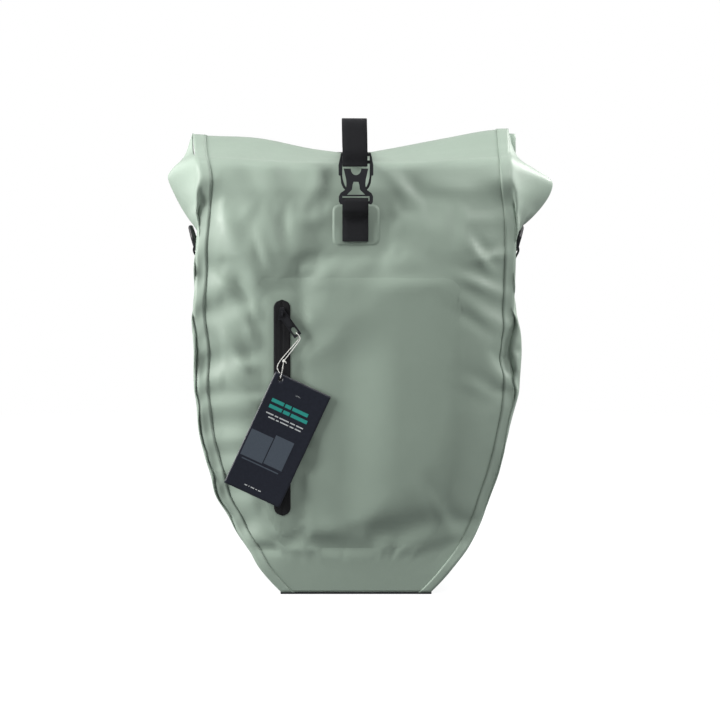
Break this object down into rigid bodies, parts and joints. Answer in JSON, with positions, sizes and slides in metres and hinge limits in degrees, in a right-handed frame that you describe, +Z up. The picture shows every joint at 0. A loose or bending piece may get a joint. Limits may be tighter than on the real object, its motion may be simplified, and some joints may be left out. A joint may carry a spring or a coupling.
{
  "type": "roll-top bicycle pannier bag",
  "caption": "Waterproof roll-top pannier bag with sliding rack hooks and release grip, carry handle, support arm, base guard and zipped front pocket.",
  "frame": {"origin": "on the axis of the rack tube held by the hooks, midway between the two hooks", "axes": "+X along the rack tube, to the right of someone looking at the pocket side; +Y towards the bicycle; +Z up"},
  "size_m": [0.392, 0.226, 0.4771],
  "materials": {
    "fabric_front": "smooth coated tarpaulin, satin",
    "fabric_back": "smooth coated tarpaulin, satin",
    "fabric_gusset": "smooth coated tarpaulin, satin",
    "fabric_roll": "smooth coated tarpaulin, satin",
    "webbing": "woven polyester webbing",
    "plastic": "moulded nylon, fine grain",
    "plastic_grey": "moulded nylon, fine grain",
    "board": "sheet polyethylene",
    "stiffener": "sheet polyethylene",
    "rubber": "moulded rubber",
    "steel": "zinc plated",
    "zip": "coated zip tape",
    "card": "coated card",
    "string": "cotton cord"
  },
  "bodies": {
    "bag": {"front_panel": "fabric_front", "back_panel": "fabric_back", "gusset": "fabric_gusset", "rolled_top": "fabric_roll", "roll_stiffener": "stiffener", "back_board": "board", "rail_screws": "steel", "rail_nuts": "steel", "upper_rail": "plastic", "lower_rail": "plastic", "base_guard": "plastic", "guard_rivets": "steel", "closure_strap": "webbing", "anchor_strap": "webbing", "anchor_patch": "fabric_front", "buckle_socket": "plastic", "pocket_panel": "fabric_front", "zip_tape": "zip", "zip_teeth": "plastic", "handle_ends": "rubber", "ring_tab_left": "webbing", "ring_tab_right": "webbing"},
    "buckle": {"buckle_plug": "plastic", "strap_tail": "webbing"},
    "handle": {"carry_handle": "rubber"},
    "grip": {"release_grip": "rubber"},
    "clamp_carriage": {"clamp_nut": "steel"},
    "arm": {"support_arm": "plastic", "arm_insert": "plastic_grey"},
    "knob": {"clamp_knob": "plastic", "clamp_bolt": "steel"},
    "zip_slider_body": {"zip_slider": "plastic"},
    "zip_puller_body": {"zip_puller": "plastic"},
    "tag": {"hang_tag": "card", "tag_string": "string"},
    "hook_left_body": {"hook_left": "plastic", "hook_clip_left": "plastic", "latch_pin_left": "steel", "latch_spring_left": "steel", "latch_strap_left": "webbing"},
    "latch_left_body": {"latch_left": "plastic_grey"},
    "pull_left_body": {"pull_strap_left": "webbing"},
    "ring_left_body": {"side_ring_left": "plastic"},
    "hook_right_body": {"hook_right": "plastic", "hook_clip_right": "plastic", "latch_pin_right": "steel", "latch_spring_right": "steel", "latch_strap_right": "webbing"},
    "latch_right_body": {"latch_right": "plastic_grey"},
    "pull_right_body": {"pull_strap_right": "webbing"},
    "ring_right_body": {"side_ring_right": "plastic"}
  },
  "joints": [
    {"name": "hook_left_slide", "type": "slide", "parent": "bag", "child": "hook_left_body", "axis": [1, 0, 0], "range_m": [-0.013, 0.013]},
    {"name": "latch_left_swing", "type": "hinge", "parent": "hook_left_body", "child": "latch_left_body", "pos_m": [-0.082, 0.0125, 0.005], "axis": [1, 0, 0], "range_deg": [0, 30]},
    {"name": "pull_left_lift", "type": "hinge", "parent": "hook_left_body", "child": "pull_left_body", "pos_m": [-0.082, 0.0195, 0.024], "axis": [1, 0, 0], "range_deg": [0, 131]},
    {"name": "ring_left_swing", "type": "hinge", "parent": "bag", "child": "ring_left_body", "pos_m": [-0.1642, -0.1025, -0.02], "axis": [0, -1, 0], "range_deg": [0, 150]},
    {"name": "hook_right_slide", "type": "slide", "parent": "bag", "child": "hook_right_body", "axis": [1, 0, 0], "range_m": [-0.013, 0.013]},
    {"name": "latch_right_swing", "type": "hinge", "parent": "hook_right_body", "child": "latch_right_body", "pos_m": [0.082, 0.0125, 0.005], "axis": [1, 0, 0], "range_deg": [0, 30]},
    {"name": "pull_right_lift", "type": "hinge", "parent": "hook_right_body", "child": "pull_right_body", "pos_m": [0.082, 0.0195, 0.024], "axis": [1, 0, 0], "range_deg": [0, 131]},
    {"name": "ring_right_swing", "type": "hinge", "parent": "bag", "child": "ring_right_body", "pos_m": [0.1642, -0.1025, -0.02], "axis": [0, 1, 0], "range_deg": [0, 150]},
    {"name": "grip_lift", "type": "hinge", "parent": "bag", "child": "grip", "pos_m": [0, 0.0195, 0.024], "axis": [1, 0, 0], "range_deg": [0, 130]},
    {"name": "handle_swing", "type": "hinge", "parent": "bag", "child": "handle", "pos_m": [0, -0.0165, -0.0303], "axis": [-1, 0, 0], "range_deg": [0, 45]},
    {"name": "clamp_slide", "type": "slide", "parent": "bag", "child": "clamp_carriage", "axis": [1, 0, 0], "range_m": [-0.09, 0.048]},
    {"name": "arm_swing", "type": "hinge", "parent": "clamp_carriage", "child": "arm", "pos_m": [0.021, 0, -0.242], "axis": [0, 1, 0], "continuous": true},
    {"name": "knob_turn", "type": "hinge", "parent": "clamp_carriage", "child": "knob", "pos_m": [0.021, 0, -0.242], "axis": [0, 1, 0], "continuous": true},
    {"name": "buckle_slide", "type": "slide", "parent": "bag", "child": "buckle", "axis": [0, 0, 1], "range_m": [0, 0.022]},
    {"name": "zip_slide", "type": "slide", "parent": "bag", "child": "zip_slider_body", "axis": [0, 0, -1], "range_m": [0, 0.19]},
    {"name": "puller_flip", "type": "hinge", "parent": "zip_slider_body", "child": "zip_puller_body", "pos_m": [-0.074, -0.1907, -0.084], "axis": [-0.809, 0, -0.5878], "range_deg": [0, 120]},
    {"name": "tag_hang", "type": "hinge", "parent": "zip_puller_body", "child": "tag", "pos_m": [-0.05851, -0.1907, -0.10532], "axis": [-0.809, 0, -0.5878], "range_deg": [-121, 0]}
  ],
  "couplings": [
    {"joint": "latch_left_swing", "follows": "grip_lift", "ratio": 0.22},
    {"joint": "pull_left_lift", "follows": "grip_lift", "ratio": 1},
    {"joint": "latch_right_swing", "follows": "grip_lift", "ratio": 0.22},
    {"joint": "pull_right_lift", "follows": "grip_lift", "ratio": 1},
    {"joint": "tag_hang", "follows": "puller_flip", "ratio": -1}
  ]
}
